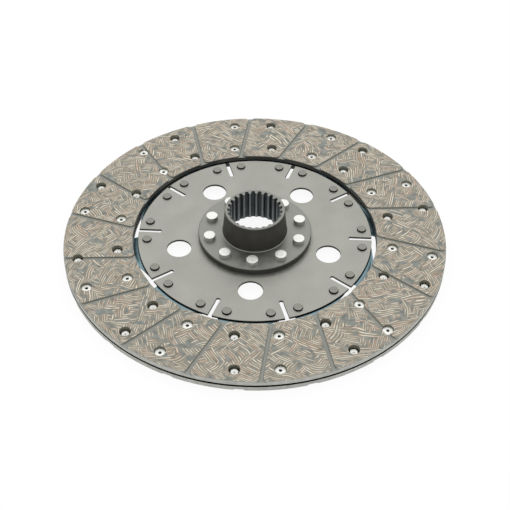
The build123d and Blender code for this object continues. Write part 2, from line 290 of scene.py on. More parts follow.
def winding_lead(tree, radius):
    """How far round the disc a strand has run when it reaches a radius, in radians.

    A strand runs to and fro between the facing's two edges as a sine does, so it bends along
    both of them.
    """
    middle = (FACING_RADIUS + FACING_BORE) / 2
    half = (FACING_RADIUS - FACING_BORE) / 2
    edge_share = 0.9  # of the sine's height, reached at the facing's edges
    across = add_node(
        tree, "ShaderNodeMapRange",
        {"Value": radius, "From Min": middle - half, "From Max": middle + half,
         "To Min": -edge_share, "To Max": edge_share},
    )
    phase = add_node(tree, "ShaderNodeMath", {0: across}, operation="ARCSINE")
    return add_node(tree, "ShaderNodeMath", {0: phase, 1: half / middle}, operation="MULTIPLY")


def wound_strands(tree, here, polar, side, seed, cover_from):
    """One family of yarn strands, wound to and fro between the facing's two edges.

    Side is 1 or -1 for strands that run out to the left or to the right. Cover_from is the
    noise level above which the family shows. Returns the strand's cover over what lies
    beneath, its crest with the painted glints on it, its patch and its own random colour.
    """
    turn, radius, lead = polar
    strands_round = 320
    wander_size = 30 * MM
    wander_strands = 9
    patch_size = 11 * MM
    patch_fade = 0.03
    raggedness = 0.12
    dash_length = 9 * MM
    dash_shift = 91.0  # parts the dashes of one strand from those of the next
    chance_shift = 0.5  # parts the strands' random values from the seed of their wander

    # A flank is 0 at a strand's edge and 0.5 along its middle
    strand_middle = 0.5
    body_flank = (0.08, 0.28)
    crest_flank = (0.22, 0.46)

    # Noise levels along a strand, from worn away to there and from dull to a painted glint
    worn_dash = (0.33, 0.46)
    glint_dash = (0.42, 0.56)

    wander_place = add_node(tree, "ShaderNodeVectorMath", {0: here, 1: (seed, 0, 0)})
    wander = add_node(
        tree, "ShaderNodeTexNoise",
        {"Vector": wander_place, "Scale": 1 / wander_size, "Detail": 1.0},
    )
    led = add_node(tree, "ShaderNodeMath", {0: lead, 1: -side, 2: turn}, operation="MULTIPLY_ADD")
    count = add_node(
        tree, "ShaderNodeMath", {0: led, 1: strands_round / math.tau}, operation="MULTIPLY"
    )
    strand = add_node(
        tree, "ShaderNodeMath", {0: wander, 1: wander_strands, 2: count}, operation="MULTIPLY_ADD"
    )
    number = add_node(tree, "ShaderNodeMath", {0: strand}, operation="FLOOR")
    wrapped = add_node(
        tree, "ShaderNodeMath", {0: number, 1: strands_round}, operation="FLOORED_MODULO"
    )
    index = add_node(tree, "ShaderNodeMath", {0: wrapped, 1: seed + chance_shift})
    own = add_node(tree, "ShaderNodeTexWhiteNoise", {"W": index}, noise_dimensions="1D")
    chance = own.outputs["Value"]

    inside = add_node(tree, "ShaderNodeMath", {0: strand}, operation="FRACT")
    flank = add_node(tree, "ShaderNodeMath", {0: inside, 1: strand_middle}, operation="PINGPONG")
    body = add_node(
        tree, "ShaderNodeMapRange",
        {"Value": flank, "From Min": body_flank[0], "From Max": body_flank[1]},
        interpolation_type="SMOOTHSTEP",
    )
    crest = add_node(
        tree, "ShaderNodeMapRange",
        {"Value": flank, "From Min": crest_flank[0], "From Max": crest_flank[1]},
        interpolation_type="SMOOTHSTEP",
    )

    reach = add_node(tree, "ShaderNodeMath", {0: radius, 1: 1 / dash_length}, operation="MULTIPLY")
    along = add_node(
        tree, "ShaderNodeMath", {0: chance, 1: dash_shift, 2: reach}, operation="MULTIPLY_ADD"
    )
    dash = add_node(
        tree, "ShaderNodeTexNoise", {"W": along, "Scale": 1.0, "Detail": 2.0}, noise_dimensions="1D"
    )
    worn = add_node(
        tree, "ShaderNodeMapRange",
        {"Value": dash, "From Min": worn_dash[0], "From Max": worn_dash[1]},
        interpolation_type="SMOOTHSTEP",
    )
    # Painted glint: stretches of each strand's crest made brighter
    bright = add_node(
        tree, "ShaderNodeMapRange",
        {"Value": dash, "From Min": glint_dash[0], "From Max": glint_dash[1]},
    )

    patch_place = add_node(tree, "ShaderNodeVectorMath", {0: here, 1: (0, seed, 0)})
    patch = add_node(
        tree, "ShaderNodeTexNoise",
        {"Vector": patch_place, "Scale": 1 / patch_size, "Detail": 0.0},
    )
    ragged = add_node(
        tree, "ShaderNodeMath", {0: chance, 1: raggedness, 2: patch}, operation="MULTIPLY_ADD"
    )
    patch = add_node(
        tree, "ShaderNodeMapRange",
        {"Value": ragged, "From Min": cover_from, "From Max": cover_from + patch_fade},
    )
    bundle = add_node(tree, "ShaderNodeMath", {0: patch, 1: worn}, operation="MULTIPLY")
    cover = add_node(tree, "ShaderNodeMath", {0: bundle, 1: body}, operation="MULTIPLY")
    crest = add_node(tree, "ShaderNodeMath", {0: crest, 1: bright}, operation="MULTIPLY")
    return cover, crest, patch, own.outputs["Color"]


def lay_strands(tree, colours, shown, ground_face, families):
    """Lay families of strands over the resin, the lowest first, on the ground faces only.

    Each family comes with the patch that hides it, or None. Returns the colour that is seen
    and how far the strands stand up.
    """
    wire_chance = (0.66, 0.74)
    pale_chance = (0.1, 0.7)
    least_pale = 0.35
    covers = []
    for (cover, crest, _, own), hidden_by in families:
        split = add_node(tree, "ShaderNodeSeparateColor", {0: own})
        wired = add_node(
            tree, "ShaderNodeMapRange",
            {"Value": split.outputs["Green"], "From Min": wire_chance[0], "From Max": wire_chance[1]},
        )
        yarn = add_node(
            tree, "ShaderNodeMix", {"Factor": wired, "A": colours.strand, "B": colours.wire},
            data_type="RGBA",
        )
        pale = add_node(
            tree, "ShaderNodeMapRange",
            {"Value": split.outputs["Red"], "From Min": pale_chance[0], "From Max": pale_chance[1],
             "To Min": least_pale},
        )
        # Painted highlight: the pale colour laid along each strand's crest
        pale = add_node(tree, "ShaderNodeMath", {0: crest, 1: pale}, operation="MULTIPLY")
        yarn = add_node(
            tree, "ShaderNodeMix", {"Factor": pale, "A": yarn, "B": colours.pale_yarn_and_glint},
            data_type="RGBA",
        )
        cover = add_node(tree, "ShaderNodeMath", {0: cover, 1: ground_face}, operation="MULTIPLY")
        if hidden_by:
            free = add_node(tree, "ShaderNodeMath", {0: 1.0, 1: hidden_by}, operation="SUBTRACT")
            cover = add_node(tree, "ShaderNodeMath", {0: cover, 1: free}, operation="MULTIPLY")
        shown = add_node(
            tree, "ShaderNodeMix", {"Factor": cover, "A": shown, "B": yarn}, data_type="RGBA"
        )
        covers.append(cover)
    relief = add_node(tree, "ShaderNodeMath", {0: covers[0], 1: covers[1]}, operation="ADD")
    return shown, relief


def lining_walls(tree, colours, radius, blotch):
    """Colour of the lining's steep faces: inner wall painted dark as shade, cut walls of grooves and
    holes, and a rim painted pale for the light the floor throws on it.
    """
    # Radii over which the painted shade of the inner wall fades out
    inner_shade_radii = (FACING_BORE + 1 * MM, FACING_BORE + 2 * MM)
    # Radii over which the rim's painted light comes in
    pale_rim_radii = (FACING_RADIUS - 2 * MM, FACING_RADIUS - 1 * MM)
    tones = (0.85, 1.1)
    cut = add_node(
        tree, "ShaderNodeMapRange",
        {"Value": radius, "From Min": inner_shade_radii[0], "From Max": inner_shade_radii[1]},
    )
    outer = add_node(
        tree, "ShaderNodeMapRange",
        {"Value": radius, "From Min": pale_rim_radii[0], "From Max": pale_rim_radii[1]},
    )
    walls = add_node(
        tree, "ShaderNodeMix", {"Factor": cut, "A": colours.bore_wall_shade, "B": colours.cut_wall},
        data_type="RGBA",
    )
    walls = add_node(
        tree, "ShaderNodeMix", {"Factor": outer, "A": walls, "B": colours.rim}, data_type="RGBA"
    )
    tone = add_node(
        tree, "ShaderNodeMapRange",
        {"Value": blotch, **NOISE_RANGE, "To Min": tones[0], "To Max": tones[1]},
    )
    return add_node(
        tree, "ShaderNodeMix", {"Factor": 1.0, "A": walls, "B": tone},
        data_type="RGBA", blend_type="MULTIPLY",
    )


def wound_lining(colours):
    """Scatter-wound clutch lining: glass yarn with brass wire, wound in resin, cured and ground.

    The eye sees bundles of parallel tan strands, cut flat, in grey-green resin, with pale crests
    that are partly the yarn's own colour and partly painted highlight.
    They cross at about right angles and bend along both edges. Groove floors were moulded, so
    only resin shows there, and the backs are painted nearly black as the shade in the gap between
    the facings. The walls of grooves and holes are plain, the outer rim is painted pale for the
    light the floor throws on it, and the inner wall is painted dark as shade.
    """
    blotch_size = 5 * MM
    grit_size = 0.7 * MM
    grit_relief = 0.6
    dark_blotch, pale_blotch = 0.35, 0.65

    # Depths below the friction faces, and off the backs with their painted shade, where one look gives
    # way to the next
    ground_from, ground_to = 0.12 * MM, 0.04 * MM
    gap_shade_from, gap_shade_to = 0.1 * MM, 0.2 * MM

    material, tree, surface = new_material("scatter_wound_lining")
    here = add_node(tree, "ShaderNodeTexCoord").outputs["Object"]
    place = add_node(tree, "ShaderNodeSeparateXYZ", {0: here})
    radius = flat_radius(tree, place)
    turn = add_node(
        tree, "ShaderNodeMath", {0: place.outputs["Y"], 1: place.outputs["X"]}, operation="ARCTAN2"
    )
    polar = (turn, radius, winding_lead(tree, radius))
    top = wound_strands(tree, here, polar, side=1, seed=3.7, cover_from=0.53)
    under = wound_strands(tree, here, polar, side=-1, seed=8.2, cover_from=0.40)
    top_patch = top[2]

    blotch = add_node(
        tree, "ShaderNodeTexNoise", {"Vector": here, "Scale": 1 / blotch_size, "Detail": 4.0}
    )
    grit = add_node(tree, "ShaderNodeTexNoise", {"Vector": here, "Scale": 1 / grit_size, "Detail": 2.0})
    shade = add_node(
        tree, "ShaderNodeMapRange", {"Value": blotch, "From Min": dark_blotch, "From Max": pale_blotch}
    )
    resin = add_node(
        tree, "ShaderNodeMix", {"Factor": shade, "A": colours.resin_dark, "B": colours.resin},
        data_type="RGBA",
    )
    above = add_node(
        tree, "ShaderNodeMath", {0: place.outputs["Z"], 1: MID_HEIGHT}, operation="SUBTRACT"
    )
    off_middle = add_node(tree, "ShaderNodeMath", {0: above}, operation="ABSOLUTE")
    ground_face = add_node(
        tree, "ShaderNodeMapRange",
        {"Value": off_middle, "From Min": HALF_HEIGHT - ground_from, "From Max": HALF_HEIGHT - ground_to},
    )
    resin = add_node(
        tree, "ShaderNodeMix", {"Factor": ground_face, "A": colours.resin, "B": resin},
        data_type="RGBA",
    )
    # Painted shade: the backs go dark for the shade in the gap between the facings
    off_gap_shade = add_node(
        tree, "ShaderNodeMapRange",
        {"Value": off_middle, "From Min": HALF_GAP + gap_shade_from, "From Max": HALF_GAP + gap_shade_to},
    )
    resin = add_node(
        tree, "ShaderNodeMix", {"Factor": off_gap_shade, "A": colours.back, "B": resin}, data_type="RGBA"
    )
    flat, relief = lay_strands(
        tree, colours, resin, ground_face, ((under, top_patch), (top, None))
    )
    walls = lining_walls(tree, colours, radius, blotch)
    shown = add_node(
        tree, "ShaderNodeMix", {"Factor": level_share(tree), "A": walls, "B": flat}, data_type="RGBA"
    )
    height = add_node(
        tree, "ShaderNodeMath", {0: grit, 1: grit_relief, 2: relief}, operation="MULTIPLY_ADD"
    )
    bump = add_node(
        tree, "ShaderNodeBump", {"Strength": 0.4, "Distance": 0.08 * MM, "Height": height}
    )
    finish_surface(tree, surface, shown, rough=0.72, bump=bump, metallic=0.0)
    return material


def rolled_sheet(colours):
    """Cold-rolled sheet steel, blanked: a satin grey with a fine grain along the rolling direction.

    The steep faces, the sheared edges of rim, slots and holes, are painted dark as shade.
    """
    # Real rolling grain is under a tenth of a millimetre wide, too fine to show
    grain_width = 0.5556 * MM
    grain_length = 7.143 * MM
    grain_depth = 1.111 * MM
    grain_tone = 0.55
    cloud_size = 22 * MM
    mixed_low, mixed_high = 0.45, 1.15
    tones = (0.88, 1.08)
    roughnesses = (0.40, 0.52)

    material, tree, surface = new_material("cold_rolled_sheet")
    here = add_node(tree, "ShaderNodeTexCoord").outputs["Object"]
    stretched = add_node(
        tree, "ShaderNodeMapping",
        {"Vector": here, "Scale": (1 / grain_width, 1 / grain_length, 1 / grain_depth)},
    )
    grain = add_node(
        tree, "ShaderNodeTexNoise", {"Vector": stretched, "Scale": 1.0, "Detail": 3.0}
    )
    cloud = add_node(
        tree, "ShaderNodeTexNoise", {"Vector": here, "Scale": 1 / cloud_size, "Detail": 4.0}
    )
    mixed = add_node(
        tree, "ShaderNodeMath", {0: grain, 1: grain_tone, 2: cloud}, operation="MULTIPLY_ADD"
    )
    tone = add_node(
        tree, "ShaderNodeMapRange",
        {"Value": mixed, "From Min": mixed_low, "From Max": mixed_high,
         "To Min": tones[0], "To Max": tones[1]},
    )
    sheet = add_node(
        tree, "ShaderNodeMix", {"Factor": 1.0, "A": colours.plate, "B": tone},
        data_type="RGBA", blend_type="MULTIPLY",
    )
    # Painted shade: steep faces take the dark sheared-edge colour
    shown = add_node(
        tree, "ShaderNodeMix", {"Factor": level_share(tree), "A": colours.sheared_edge_shade, "B": sheet},
        data_type="RGBA",
    )
    rough = add_node(
        tree, "ShaderNodeMapRange",
        {"Value": grain, **NOISE_RANGE, "To Min": roughnesses[0], "To Max": roughnesses[1]},
    )
    bump = add_node(tree, "ShaderNodeBump", {"Strength": 0.15, "Distance": 0.02 * MM, "Height": grain})
    finish_surface(tree, surface, shown, rough, bump, metallic=1.0)
    return material


def turned_hub_steel(colours):
    """Forged steel, turned on its flat faces and broached.

    The eye sees mid grey turned faces with faint rings, and a barrel and rim painted dark grey as
    shade. The spline teeth have a painted highlight on their tips and painted shade in the spaces
    between them.
    """
    feed = 0.9 * MM  # real tool feed is about 0.2 mm, too fine to show
    ring_tone = 0.5
    mottle_size = 5 * MM
    mixed_low, mixed_high = 0.45, 1.05
    tones = (0.88, 1.08)
    roughnesses = (0.56, 0.70)
    turned_gloss = 0.2
    tooth_tip, tooth_root = SPLINE_ROOT - 1.7 * MM, SPLINE_ROOT - 0.4 * MM
    barrel_from = SPLINE_ROOT + 0.3 * MM

    material, tree, surface = new_material("turned_hub_steel")
    here = add_node(tree, "ShaderNodeTexCoord").outputs["Object"]
    radius = flat_radius(tree, add_node(tree, "ShaderNodeSeparateXYZ", {0: here}))
    turns = add_node(tree, "ShaderNodeMath", {0: radius, 1: 1 / feed}, operation="MULTIPLY")
    rings = add_node(
        tree, "ShaderNodeTexNoise", {"W": turns, "Scale": 1.0, "Detail": 1.0}, noise_dimensions="1D"
    )
    mottle = add_node(
        tree, "ShaderNodeTexNoise", {"Vector": here, "Scale": 1 / mottle_size, "Detail": 5.0}
    )
    off_spline = add_node(
        tree, "ShaderNodeMapRange", {"Value": radius, "From Min": SPLINE_ROOT, "From Max": barrel_from}
    )
    # Painted highlight on the tooth tips, going over to painted shade at the roots
    tip_to_root_shade = add_node(
        tree, "ShaderNodeMapRange", {"Value": radius, "From Min": tooth_tip, "From Max": tooth_root}
    )
    spline = add_node(
        tree, "ShaderNodeMix", {"Factor": tip_to_root_shade, "A": colours.broached, "B": colours.spline_root_shade},
        data_type="RGBA",
    )
    sides = add_node(
        tree, "ShaderNodeMix", {"Factor": off_spline, "A": spline, "B": colours.hub_steep_shade},
        data_type="RGBA",
    )
    # Painted shade: steep faces take the dark colour, level faces the turned one
    level = level_share(tree)
    base = add_node(
        tree, "ShaderNodeMix", {"Factor": level, "A": sides, "B": colours.hub}, data_type="RGBA"
    )
    mixed = add_node(
        tree, "ShaderNodeMath", {0: rings, 1: ring_tone, 2: mottle}, operation="MULTIPLY_ADD"
    )
    tone = add_node(
        tree, "ShaderNodeMapRange",
        {"Value": mixed, "From Min": mixed_low, "From Max": mixed_high,
         "To Min": tones[0], "To Max": tones[1]},
    )
    shown = add_node(
        tree, "ShaderNodeMix", {"Factor": 1.0, "A": base, "B": tone},
        data_type="RGBA", blend_type="MULTIPLY",
    )
    rough = add_node(
        tree, "ShaderNodeMapRange",
        {"Value": mottle, **NOISE_RANGE, "To Min": roughnesses[0], "To Max": roughnesses[1]},
    )
    rough = add_node(
        tree, "ShaderNodeMath", {0: level, 1: -turned_gloss, 2: rough}, operation="MULTIPLY_ADD"
    )
    bump = add_node(tree, "ShaderNodeBump", {"Strength": 0.12, "Distance": 0.02 * MM, "Height": rings})
    finish_surface(tree, surface, shown, rough, bump, metallic=1.0)
    return material


def plain_metal(name, base, roughness, spread, spot_size, side=1.0, unshaded_band=None):
    """Plated, pressed or tempered metal with a soft mottle, for rivets and spring steel.

    The mottle is uneven plating, scale or temper colour: spread is how far it lightens and
    darkens the colour, and spot_size its real size. Side is the tone of steep faces, which is
    painted shade, and outside the unshaded band of radii the metal is painted dark as shade.
    """
    rough_spread = 0.06
    fine_size = spot_size / 4
    shade_tone = 0.12
    inner_fade, outer_fade = 0.3 * MM, 1 * MM

    material, tree, surface = new_material(name)
    here = add_node(tree, "ShaderNodeTexCoord").outputs["Object"]
    mottle = add_node(
        tree, "ShaderNodeTexNoise", {"Vector": here, "Scale": 1 / spot_size, "Detail": 4.0}
    )
    tone = add_node(
        tree, "ShaderNodeMapRange",
        {"Value": mottle, **NOISE_RANGE, "To Min": 1 - spread, "To Max": 1 + spread},
    )
    # Painted shade: steep faces darkened to the side tone
    steep = add_node(
        tree, "ShaderNodeMapRange", {"Value": level_share(tree), "To Min": side, "To Max": 1.0}
    )
    factors = [tone, steep]
    # Painted shade: dark at both ends of the unshaded band of radii
    if unshaded_band:
        near, far = unshaded_band
        radius = flat_radius(tree, add_node(tree, "ShaderNodeSeparateXYZ", {0: here}))
        for shaded_end, unshaded_end in ((near, near + inner_fade), (far, far - outer_fade)):
            edge_shade = add_node(
                tree, "ShaderNodeMapRange",
                {"Value": radius, "From Min": shaded_end, "From Max": unshaded_end, "To Min": shade_tone},
            )
            factors.append(edge_shade)
    shown = base
    for factor in factors:
        shown = add_node(
            tree, "ShaderNodeMix", {"Factor": 1.0, "A": shown, "B": factor},
            data_type="RGBA", blend_type="MULTIPLY",
        )
    rough = add_node(
        tree, "ShaderNodeMapRange",
        {"Value": mottle, **NOISE_RANGE,
         "To Min": roughness - rough_spread, "To Max": roughness + rough_spread},
    )
    fine = add_node(tree, "ShaderNodeTexNoise", {"Vector": here, "Scale": 1 / fine_size, "Detail": 2.0})
    bump = add_node(tree, "ShaderNodeBump", {"Strength": 0.12, "Distance": 0.02 * MM, "Height": fine})
    finish_surface(tree, surface, shown, rough, bump, metallic=1.0)
    return material


def dress(node, material):
    """Give a CAD node its material and leave its mesh alone."""
    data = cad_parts[node].data
    data.materials.clear()
    data.materials.append(material)


def arc(centre, radius, start, end, steps=4):
    """Points on an arc of a profile, from one direction to another, in degrees."""
    turns = (math.radians(start + (end - start) * i / steps) for i in range(steps + 1))
    return [(centre[0] + radius * math.cos(t), centre[1] + radius * math.sin(t)) for t in turns]


def turned_solid(name, profile, closed, sides=40):
    """A solid turned from a profile of (radius, height) points round the Z axis.

    A closed profile is a ring's section. An open one starts and ends on the axis.
    """
    shape = bmesh.new()
    loops = []
    for radius, height in profile:
        if radius == 0:
            loops.append([shape.verts.new((0, 0, height))] * sides)
        else:
            turns = (math.tau * i / sides for i in range(sides))
            points = ((radius * math.cos(t), radius * math.sin(t), height) for t in turns)
            loops.append([shape.verts.new(point) for point in points])
    last = len(loops) if closed else len(loops) - 1
    for k in range(last):
        near, far = loops[k], loops[(k + 1) % len(loops)]
        for i in range(sides):
            j = (i + 1) % sides
            corners = list(dict.fromkeys((near[i], near[j], far[j], far[i])))
            shape.faces.new(corners)
    bmesh.ops.recalc_face_normals(shape, faces=shape.faces)
    mesh = bpy.data.meshes.new(name)
    shape.to_mesh(mesh)
    shape.free()
    return mesh


def ring_tree(name, seated_down):
    """Geometry Nodes that set one rivet round the disc's axis, alone or in pairs.

    Each copy gets its own turn about its axis, so that no two look alike. Rivets that are
    seated down stand on their heads, as those of the rear facing do.
    """
    tree = bpy.data.node_groups.new(name, "GeometryNodeTree")
    face = tree.interface
    face.new_socket("Rivet", in_out="INPUT", socket_type="NodeSocketGeometry")
    for label, kind in (
        ("Count", "NodeSocketInt"), ("Mates", "NodeSocketInt"), ("Circle radius", "NodeSocketFloat"),
        ("First angle", "NodeSocketFloat"), ("Mate angle", "NodeSocketFloat"),
        ("Height", "NodeSocketFloat"), ("Seed", "NodeSocketInt"), ("Finish", "NodeSocketMaterial"),
    ):
        face.new_socket(label, in_out="INPUT", socket_type=kind)
    face.new_socket("Rivets", in_out="OUTPUT", socket_type="NodeSocketGeometry")
    given = add_node(tree, "NodeGroupInput").outputs
    index = add_node(tree, "GeometryNodeInputIndex")
    mate = add_node(
        tree, "ShaderNodeMath", {0: index, 1: given["Mates"]}, operation="FLOORED_MODULO"
    )
    before = add_node(tree, "ShaderNodeMath", {0: index, 1: mate}, operation="SUBTRACT")
    pitch = add_node(tree, "ShaderNodeMath", {0: math.tau, 1: given["Count"]}, operation="DIVIDE")
    place = add_node(tree, "ShaderNodeMath", {0: before, 1: pitch}, operation="MULTIPLY")
    start = add_node(tree, "ShaderNodeMath", {0: place, 1: given["First angle"]})
    turn = add_node(
        tree, "ShaderNodeMath", {0: mate, 1: given["Mate angle"], 2: start}, operation="MULTIPLY_ADD"
    )
    spot = {"Z": given["Height"]}
    for axis, operation in (("X", "COSINE"), ("Y", "SINE")):
        way = add_node(tree, "ShaderNodeMath", {0: turn}, operation=operation)
        spot[axis] = add_node(
            tree, "ShaderNodeMath", {0: way, 1: given["Circle radius"]}, operation="MULTIPLY"
        )
    position = add_node(tree, "ShaderNodeCombineXYZ", spot)
    points = add_node(tree, "GeometryNodePoints", {"Count": given["Count"], "Position": position})
    spin = add_node(
        tree, "FunctionNodeRandomValue", {"Max": math.tau, "ID": index, "Seed": given["Seed"]}
    )
    tilt = math.pi if seated_down else 0
    angles = add_node(tree, "ShaderNodeCombineXYZ", {"X": tilt, "Z": spin})
    attitude = add_node(tree, "FunctionNodeEulerToRotation", {0: angles})
    copies = add_node(
        tree, "GeometryNodeInstanceOnPoints",
        {"Points": points, "Instance": given["Rivet"], "Rotation": attitude},
    )
    real = add_node(tree, "GeometryNodeRealizeInstances", {"Geometry": copies})
    finished = add_node(
        tree, "GeometryNodeSetMaterial", {"Geometry": real, "Material": given["Finish"]}
    )
    add_node(tree, "NodeGroupOutput", {0: finished})
    return tree


def set_rivets(name, rivet, node, sizes, seated_down=False):
    """Set a turned rivet round the disc in place of a CAD node, as one plain mesh.

    Sizes are the ring tree's inputs by name. A ring whose rivets stand alone needs no mates.
    """
    maker = bpy.data.objects.new(name + "_maker", rivet)
    bpy.context.collection.objects.link(maker)
    tree = ring_tree(name + "_ring", seated_down)
    modifier = maker.modifiers.new("ring", "NODES")
    modifier.node_group = tree
    values = {"Mates": 1, "Mate angle": 0.0, **sizes}
    for socket in tree.interface.items_tree:
        if socket.in_out == "INPUT" and socket.name in values:
            modifier[socket.identifier] = values[socket.name]
    seen = maker.evaluated_get(bpy.context.evaluated_depsgraph_get())
    mesh = bpy.data.meshes.new_from_object(seen)
    mesh.name = name
    maker.modifiers.remove(modifier)
    bpy.data.objects.remove(maker)
    mesh.shade_smooth()
    mesh.set_sharp_from_angle(angle=CREASE)
    piece = bpy.data.objects.new(name, mesh)
    bpy.context.collection.objects.link(piece)
    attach(piece, BODY)
    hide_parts(node)


class DISC_OT_hub_rivets(bpy.types.Operator):
    """Cheese-headed rivets on the flange, upset under the plate"""

    bl_idname = "disc.hub_rivets"
    bl_label = "Hub rivets"

    def execute(self, context):
        sizes = context.scene.disc_hub_rivets
        top, bottom = HUB_RIVET_HIGH.z, HUB_RIVET_LOW.z
        seat = top - sizes.head_height
        underside = PLATE_LOW.z
        edge = sizes.edge
        dimple_depth = 0.05 * MM
        dimple_floor = 0.6 * sizes.dimple
        tail_root = 0.97 * sizes.tail
        profile = [(0, top - dimple_depth), (dimple_floor, top - dimple_depth), (sizes.dimple, top)]
        profile += arc((sizes.head - edge, top - edge), edge, 90, 0)
        profile += [(sizes.head, seat), (sizes.shank, seat), (sizes.shank, underside)]
        profile += [(tail_root, underside)]
        profile += arc((sizes.tail - edge, bottom + edge), edge, 0, -90)
        profile += [(sizes.dimple, bottom), (0, bottom)]
        rivet = turned_solid("hub_rivet", profile, closed=False)
        # Side: painted shade on the rivets' steep faces
        zinc = plain_metal(
            "zinc_plated_steel", context.scene.disc_colours.zinc,
            roughness=0.55, spread=0.05, spot_size=3 * MM, side=0.75,
        )
        set_rivets(
            "hub_rivet_set", rivet, "hub_rivets",
            {"Count": sizes.count, "Circle radius": sizes.circle, "First angle": sizes.first,
             "Height": 0.0, "Seed": 11, "Finish": zinc},
        )
        return {"FINISHED"}


class DISC_OT_segment_rivets(bpy.types.Operator):
    """Low-headed rivets that hold the cushion segments under the plate"""

    bl_idname = "disc.segment_rivets"
    bl_label = "Segment rivets"

    def execute(self, context):
        sizes = context.scene.disc_segment_rivets
        top, bottom = SEGMENT_RIVET_HIGH.z, SEGMENT_RIVET_LOW.z
        seat = PLATE_HIGH.z
        underside = PLATE_LOW.z - sizes.tang
        edge = sizes.edge
        crown_height = 0.12 * MM
        shoulder = 0.55 * sizes.crown
        shoulder_drop = 0.35 * crown_height
        tail_root = 0.97 * sizes.head
        profile = [(0, top), (shoulder, top - shoulder_drop)]
        profile += arc((sizes.crown - edge, top - crown_height - edge), edge, 80, 15)
        profile += [(sizes.head, seat), (sizes.shank, seat), (sizes.shank, underside)]
        profile += [(tail_root, underside)]
        profile += arc((sizes.head - edge, bottom + edge), edge, 0, -90)
        profile += [(0, bottom)]
        rivet = turned_solid("segment_rivet", profile, closed=False)
        # Side: painted shade on the rivets' steep faces
        steel = plain_metal(
            "pressed_steel", context.scene.disc_colours.rivet_steel,
            roughness=0.42, spread=0.12, spot_size=2 * MM, side=0.1,
        )
        set_rivets(
            "segment_rivet_set", rivet, "segment_rivets",
            {"Count": sizes.count, "Mates": 2, "Circle radius": sizes.circle,
             "First angle": sizes.first, "Mate angle": sizes.mate,
             "Height": 0.0, "Seed": 23, "Finish": steel},
        )
        return {"FINISHED"}


class DISC_OT_facing_rivets(bpy.types.Operator):
    """Tubular rivets that hold both facings on the segments"""

    bl_idname = "disc.facing_rivets"
    bl_label = "Facing rivets"

    def execute(self, context):
        sizes = context.scene.disc_facing_rivets
        # Side: painted shade on the rivets' steep faces
        zinc = plain_metal(
            "bright_zinc", context.scene.disc_colours.zinc,
            roughness=0.55, spread=0.05, spot_size=2 * MM, side=0.2,
        )
        for facing, side, seed in (("front", 1, 32), ("rear", -1, 30)):
            for row, reach in (("outer", sizes.outer_reach), ("inner", sizes.inner_reach)):
                node = f"{facing}_facing_rivets_{row}"
                low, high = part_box(node)
                profile = self.section(sizes, high.z - low.z)
                rivet = turned_solid(f"{facing}_{row}_rivet", profile, closed=True)
                set_rivets(
                    f"{facing}_rivet_row_{row}", rivet, node,
                    {"Count": sizes.count, "Circle radius": math.hypot(reach, sizes.column),
                     "First angle": sizes.segment + side * math.atan2(sizes.column, reach),
                     "Height": low.z if side > 0 else high.z, "Seed": seed, "Finish": zinc},
                    seated_down=side < 0,
                )
        return {"FINISHED"}

    def section(self, sizes, tall):
        """The rivet's ring section from its clenched end at height 0 up to its head."""
        head_seat = tall - sizes.head_height
        edge = 0.25 * MM
        countersink = 0.2 * MM
        roll = 0.45 * MM
        funnel_mouth = 0.55 * sizes.clench
        funnel_depth = 0.35 * MM
        profile = [(sizes.bore, tall - countersink), (sizes.bore + countersink, tall)]
        profile += arc((sizes.head - edge, tall - edge), edge, 90, 0, steps=3)
        profile += [(sizes.head, head_seat), (sizes.shank, head_seat)]
        profile += [(sizes.shank, sizes.clench_height), (sizes.clench, sizes.clench_height)]
        profile += arc((sizes.clench - roll, roll), roll, 0, -90)
        profile += [(funnel_mouth, 0), (sizes.pin, funnel_depth), (sizes.pin, sizes.clench_height)]
        return profile


class DISC_OT_hub(bpy.types.Operator):
    """Turned steel of the splined hub, with painted shade on its steep faces and in its spline roots"""

    bl_idname = "disc.hub"
    bl_label = "Hub"

    def execute(self, context):
        dress("hub", turned_hub_steel(context.scene.disc_colours))
        return {"FINISHED"}


class DISC_OT_carrier_plate(bpy.types.Operator):
    """Cold-rolled sheet steel of the carrier plate"""

    bl_idname = "disc.carrier_plate"
    bl_label = "Carrier plate"

    def execute(self, context):
        dress("carrier_plate", rolled_sheet(context.scene.disc_colours))
        return {"FINISHED"}


class DISC_OT_cushion_segments(bpy.types.Operator):
    """Blued spring steel of the waved cushion segments"""

    bl_idname = "disc.cushion_segments"
    bl_label = "Cushion segments"

    def execute(self, context):
        # Painted shade on the segments: a contact shadow by the plate's rim, and the shade under the
        # facings
        unshaded_near = PLATE_HIGH.x + 0.5 * MM
        unshaded_far = FACING_BORE + 6 * MM
        blued = plain_metal(
            "blued_spring_steel", context.scene.disc_colours.blued,
            roughness=0.38, spread=0.10, spot_size=14 * MM, unshaded_band=(unshaded_near, unshaded_far),
        )
        for node in SEGMENTS:
            dress(node, blued)
        return {"FINISHED"}


class DISC_OT_facings(bpy.types.Operator):
    """Scatter-wound lining of both facings"""

    bl_idname = "disc.facings"
    bl_label = "Friction facings"

    def execute(self, context):
        lining = wound_lining(context.scene.disc_colours)
        for node in ("front_facing", "rear_facing"):
            dress(node, lining)
        return {"FINISHED"}


